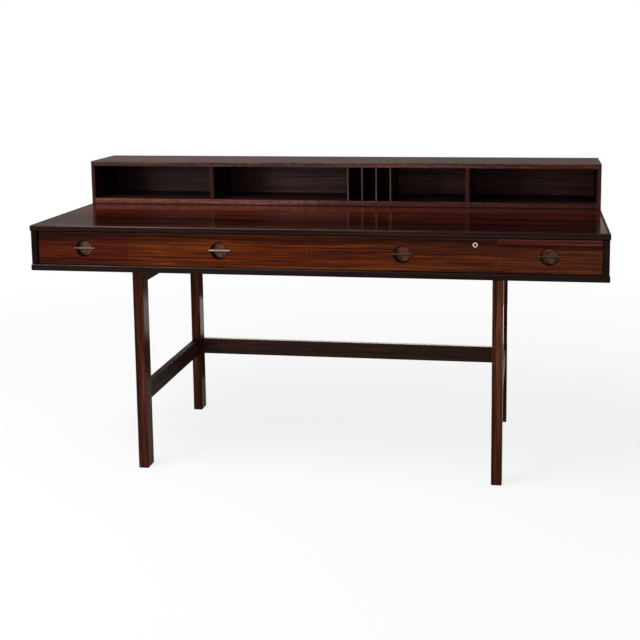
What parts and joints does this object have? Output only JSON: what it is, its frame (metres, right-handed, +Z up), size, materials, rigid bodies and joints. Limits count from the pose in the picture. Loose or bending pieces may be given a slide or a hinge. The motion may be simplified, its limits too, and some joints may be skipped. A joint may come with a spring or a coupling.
{
  "type": "flip top desk",
  "caption": "Wide writing desk with inset drawers in a shallow case on a slim leg frame, and a pigeonhole organizer that flips over the rear edge to extend the top.",
  "frame": {"origin": "on the floor, below the middle of the desk's outer box", "axes": "+X along the desk to the right as seen by a person who sits at it, +Y to the rear, +Z up"},
  "size_m": [1.61, 0.694, 0.8583],
  "materials": {
    "rosewood": "satin lacquer over streaked red-brown grain",
    "dark_edge": "near-black stained edge, satin lacquer",
    "lining_wood": "plain planed wood, thin matt lacquer",
    "pull_metal": "aged brass with a brown patina",
    "lock_nickel": "worn nickel plate",
    "hinge_brass": "satin brass, a little tarnished",
    "screw_steel": "bright steel"
  },
  "bodies": {
    "desk": {"case_back": "rosewood", "case_bottom": "dark_edge", "case_dividers": "lining_wood", "case_left_side": "rosewood", "case_right_side": "rosewood", "desktop_edging": "dark_edge", "desktop_panel": "rosewood", "drawer_runners": "lining_wood", "frame_screws": "screw_steel", "front_left_leg": "rosewood", "front_right_leg": "rosewood", "hinge_desk_leaves": "hinge_brass", "hinge_desk_screws": "hinge_brass", "hinge_pins": "hinge_brass", "left_side_stretcher": "rosewood", "left_top_rail": "rosewood", "lock_strike": "lock_nickel", "long_stretcher": "rosewood", "rear_left_leg": "rosewood", "rear_right_leg": "rosewood", "right_side_stretcher": "rosewood", "right_top_rail": "rosewood"},
    "organizer": {"hinge_organizer_leaves": "hinge_brass", "hinge_organizer_screws": "hinge_brass", "letter_partitions": "rosewood", "organizer_back": "rosewood", "organizer_bottom": "rosewood", "organizer_dividers": "rosewood", "organizer_left_side": "rosewood", "organizer_right_side": "rosewood", "organizer_top": "rosewood"},
    "drawer_1": {"drawer_1_back": "lining_wood", "drawer_1_bottom": "lining_wood", "drawer_1_front": "rosewood", "drawer_1_pull_bar": "pull_metal", "drawer_1_pull_cup": "pull_metal", "drawer_1_sides": "lining_wood"},
    "drawer_2": {"drawer_2_back": "lining_wood", "drawer_2_bottom": "lining_wood", "drawer_2_front": "rosewood", "drawer_2_pull_bar": "pull_metal", "drawer_2_pull_cup": "pull_metal", "drawer_2_sides": "lining_wood"},
    "drawer_3": {"drawer_3_back": "lining_wood", "drawer_3_bottom": "lining_wood", "drawer_3_front": "rosewood", "drawer_3_pull_bar": "pull_metal", "drawer_3_pull_cup": "pull_metal", "drawer_3_sides": "lining_wood", "lock_body": "lock_nickel"},
    "drawer_4": {"drawer_4_back": "lining_wood", "drawer_4_bottom": "lining_wood", "drawer_4_front": "rosewood", "drawer_4_pull_bar": "pull_metal", "drawer_4_pull_cup": "pull_metal", "drawer_4_sides": "lining_wood"},
    "lock_plug": {"lock_cam": "lock_nickel", "lock_plug": "lock_nickel"}
  },
  "joints": [
    {"name": "organizer_flip", "type": "hinge", "parent": "desk", "child": "organizer", "pos_m": [0, 0.3435, 0.72215], "axis": [-1, 0, 0], "range_deg": [0, 180]},
    {"name": "drawer_1_slide", "type": "slide", "parent": "desk", "child": "drawer_1", "axis": [0, -1, 0], "range_m": [0, 0.38]},
    {"name": "drawer_2_slide", "type": "slide", "parent": "desk", "child": "drawer_2", "axis": [0, -1, 0], "range_m": [0, 0.38]},
    {"name": "drawer_3_slide", "type": "slide", "parent": "desk", "child": "drawer_3", "axis": [0, -1, 0], "range_m": [0, 0.38]},
    {"name": "drawer_4_slide", "type": "slide", "parent": "desk", "child": "drawer_4", "axis": [0, -1, 0], "range_m": [0, 0.38]},
    {"name": "lock_turn", "type": "hinge", "parent": "drawer_3", "child": "lock_plug", "pos_m": [0.451, -0.338, 0.686], "axis": [0, 1, 0], "range_deg": [0, 90]}
  ]
}
